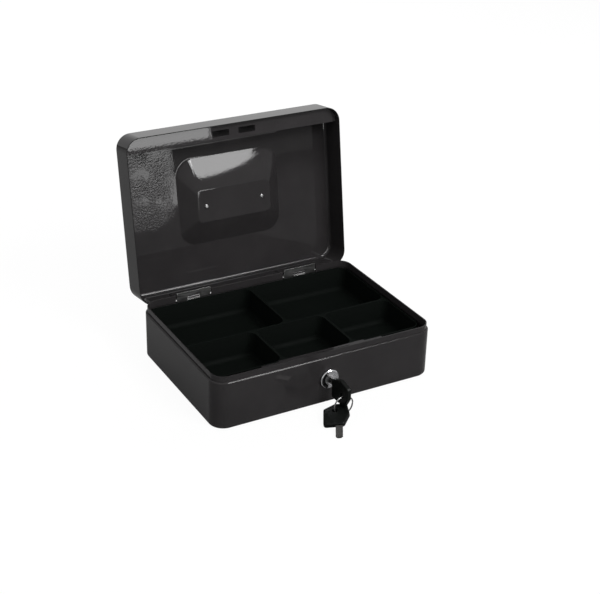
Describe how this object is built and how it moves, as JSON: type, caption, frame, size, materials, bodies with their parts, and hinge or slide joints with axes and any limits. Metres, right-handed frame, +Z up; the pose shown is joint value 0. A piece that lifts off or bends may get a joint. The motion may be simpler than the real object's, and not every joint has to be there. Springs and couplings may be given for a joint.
{
  "type": "cash box",
  "caption": "Steel cash box with a hinged lid, recessed folding handle, rotary claw lock, lift-out coin tray and keys on a ring.",
  "frame": {"origin": "centre of the base's underside, on the surface that the box stands on", "axes": "+X to the right seen from the lock, +Y from the lock to the hinges, +Z up"},
  "size_m": [0.25, 0.3015, 0.2301],
  "materials": {
    "paint": "semi-gloss",
    "chrome": "polished",
    "zinc": "zinc plated",
    "nickel": "nickel plated",
    "bow_plastic": "satin",
    "tray_plastic": "satin"
  },
  "bodies": {
    "base": {"base_shell": "paint", "lock_cover": "paint", "lock_body": "chrome", "lock_washer": "zinc", "lock_nut": "zinc", "hinge_leaf_base_left": "zinc", "hinge_leaf_base_right": "zinc", "hinge_pin_left": "zinc", "hinge_pin_right": "zinc", "tray_rest_left": "paint", "tray_rest_right": "paint"},
    "lid": {"lid_shell": "paint", "lid_catch_flange": "paint", "hinge_leaf_lid_left": "paint", "hinge_leaf_lid_right": "paint", "handle_bracket_left": "chrome", "handle_bracket_right": "chrome", "handle_rivet_left": "zinc", "handle_rivet_right": "zinc"},
    "handle": {"handle_bail": "chrome"},
    "plug": {"lock_plug": "chrome", "claw_cam": "zinc", "cam_screw": "zinc"},
    "key": {"key_blade": "nickel", "key_bow": "bow_plastic"},
    "ring": {"key_ring": "nickel"},
    "spare_key": {"spare_key_blade": "nickel", "spare_key_bow": "bow_plastic"},
    "tray": {"coin_tray": "tray_plastic"}
  },
  "joints": [
    {"name": "lid_hinge", "type": "hinge", "parent": "base", "child": "lid", "pos_m": [0, 0.0894, 0.0527], "axis": [-1, 0, 0], "range_deg": [-98.65, 0]},
    {"name": "handle_fold", "type": "hinge", "parent": "lid", "child": "handle", "pos_m": [0, 0.12991, 0.13747], "axis": [1, 0, 0], "range_deg": [-8.65, 171.35]},
    {"name": "plug_turn", "type": "hinge", "parent": "base", "child": "plug", "pos_m": [0, -0.09, 0.0282], "axis": [0, -1, 0], "range_deg": [0, 90]},
    {"name": "key_withdraw", "type": "slide", "parent": "plug", "child": "key", "axis": [0, -1, 0], "range_m": [0, 0.03]},
    {"name": "ring_swing", "type": "hinge", "parent": "key", "child": "ring", "pos_m": [0, -0.12, 0.023], "axis": [-1, 0, 0], "range_deg": [0, 50]},
    {"name": "spare_key_swing", "type": "hinge", "parent": "ring", "child": "spare_key", "pos_m": [-0.00909, -0.12, 0.00725], "axis": [-0.1978, -0.0653, 0.9781], "range_deg": [0, 40]},
    {"name": "tray_lift", "type": "slide", "parent": "base", "child": "tray", "axis": [0, 0, 1], "range_m": [0, 0.06]}
  ]
}
